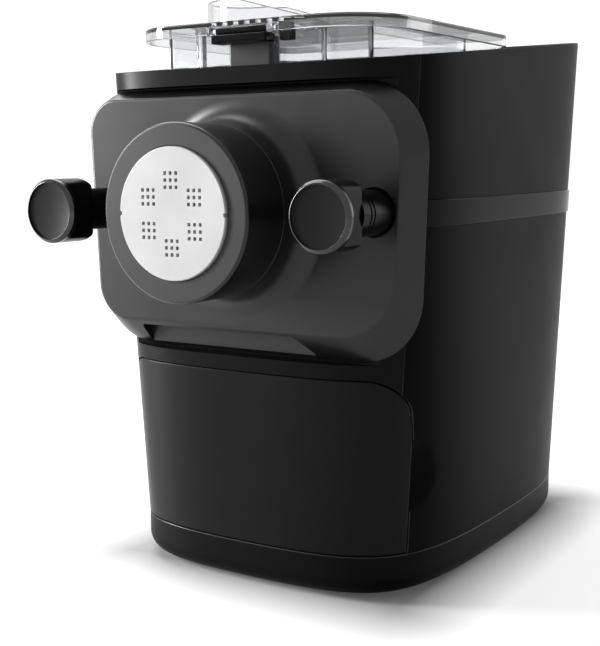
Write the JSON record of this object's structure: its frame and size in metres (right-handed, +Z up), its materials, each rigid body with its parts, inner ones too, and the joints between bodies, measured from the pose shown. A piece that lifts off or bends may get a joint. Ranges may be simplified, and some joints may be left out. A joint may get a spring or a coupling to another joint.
{
  "type": "electric pasta maker",
  "caption": "Countertop electric pasta maker: clear-lidded mixing chamber, round extrusion nose with a pierced disc, two clamping knobs and a storage drawer.",
  "frame": {"origin": "on the table under the middle of the overall box", "axes": "+Z up, -Y towards the nose at the front, +X to the right seen from the front"},
  "size_m": [0.2416, 0.353, 0.3531],
  "materials": {
    "body_black": "satin",
    "panel_charcoal": "satin",
    "trim_black": "glossy",
    "nose_dark": "glossy",
    "disc_white": "satin",
    "knob_dark": "satin",
    "polished": "polished",
    "clear": "clear",
    "steel": "machined",
    "alloy": "cast",
    "rubber_black": "matte",
    "brass": "machined",
    "board_green": "satin",
    "white_plastic": "satin",
    "grey_plastic": "satin",
    "copper_wound": "wound"
  },
  "bodies": {
    "housing": {"base_tray": "body_black", "feet": "rubber_black", "load_cells": "alloy", "base_screws": "steel", "rear_housing": "body_black", "front_frame": "body_black", "trim_band": "trim_black", "top_deck": "body_black", "control_glass": "trim_black", "control_board": "board_green", "chassis": "alloy", "clamp_studs": "steel", "motor_can": "steel", "motor_end_cap": "alloy", "motor_stator": "copper_wound", "gear_case": "alloy", "gear_case_cover": "alloy", "gear_case_screws": "steel", "reduction_pin": "steel", "output_bushes": "brass", "shaping_disc": "disc_white", "extrusion_tube": "grey_plastic", "tube_seal": "rubber_black", "drawer_runners": "grey_plastic", "mixing_chamber": "clear", "shaft_seal": "rubber_black", "latch_post": "body_black", "main_board": "board_green", "board_parts": "trim_black", "power_inlet": "body_black", "inlet_pins": "brass", "rocker_frame": "body_black"},
    "panel": {"front_panel": "panel_charcoal", "nose_ring": "nose_dark"},
    "knob_left": {"knob_left_body": "knob_dark", "knob_left_ring": "polished", "knob_left_face": "knob_dark", "knob_left_core": "steel"},
    "knob_right": {"knob_right_body": "knob_dark", "knob_right_ring": "polished", "knob_right_face": "knob_dark", "knob_right_core": "steel"},
    "drawer": {"drawer_front": "body_black", "drawer_box": "grey_plastic", "disc_rack": "grey_plastic", "stored_discs": "disc_white", "cleaning_tool": "grey_plastic"},
    "lid": {"lid": "clear", "lid_switch_tab": "body_black", "latch_pin": "steel"},
    "latch": {"lid_latch": "trim_black"},
    "mixer": {"output_shaft": "steel", "output_gear": "white_plastic", "kneading_screw": "grey_plastic"},
    "reduction": {"reduction_gear": "white_plastic"},
    "rotor": {"motor_shaft": "steel", "motor_armature": "copper_wound", "motor_fan": "grey_plastic", "motor_pinion": "steel"},
    "rocker": {"power_rocker": "trim_black"}
  },
  "joints": [
    {"name": "panel_slide", "type": "slide", "parent": "housing", "child": "panel", "axis": [0, -1, 0], "range_m": [0, 0.1]},
    {"name": "knob_left_turn", "type": "hinge", "parent": "panel", "child": "knob_left", "pos_m": [-0.0935, 0, 0.23], "axis": [0, 1, 0], "range_deg": [0, 1080]},
    {"name": "knob_right_turn", "type": "hinge", "parent": "panel", "child": "knob_right", "pos_m": [0.0935, 0, 0.23], "axis": [0, 1, 0], "range_deg": [0, 1080]},
    {"name": "drawer_slide", "type": "slide", "parent": "housing", "child": "drawer", "axis": [0, -1, 0], "range_m": [0, 0.065]},
    {"name": "lid_lift", "type": "slide", "parent": "housing", "child": "lid", "axis": [0, 0, 1], "range_m": [0, 0.05]},
    {"name": "latch_hinge", "type": "hinge", "parent": "lid", "child": "latch", "pos_m": [0, -0.104, 0.3342], "axis": [-1, 0, 0], "range_deg": [0, 25], "stiffness_Nm_per_rad": 0.02, "springref_deg": -5.73},
    {"name": "output_turn", "type": "hinge", "parent": "housing", "child": "mixer", "pos_m": [0, 0, 0.23], "axis": [0, 1, 0], "continuous": true},
    {"name": "reduction_turn", "type": "hinge", "parent": "housing", "child": "reduction", "pos_m": [0, 0, 0.1475], "axis": [0, 1, 0], "continuous": true},
    {"name": "motor_turn", "type": "hinge", "parent": "housing", "child": "rotor", "pos_m": [0, 0, 0.095], "axis": [0, 1, 0], "continuous": true},
    {"name": "rocker_tilt", "type": "hinge", "parent": "housing", "child": "rocker", "pos_m": [0.032, 0.163, 0.062], "axis": [1, 0, 0], "range_deg": [0, 14]}
  ],
  "couplings": [
    {"joint": "reduction_turn", "follows": "output_turn", "ratio": -5.1111},
    {"joint": "motor_turn", "follows": "output_turn", "ratio": 20.444}
  ]
}
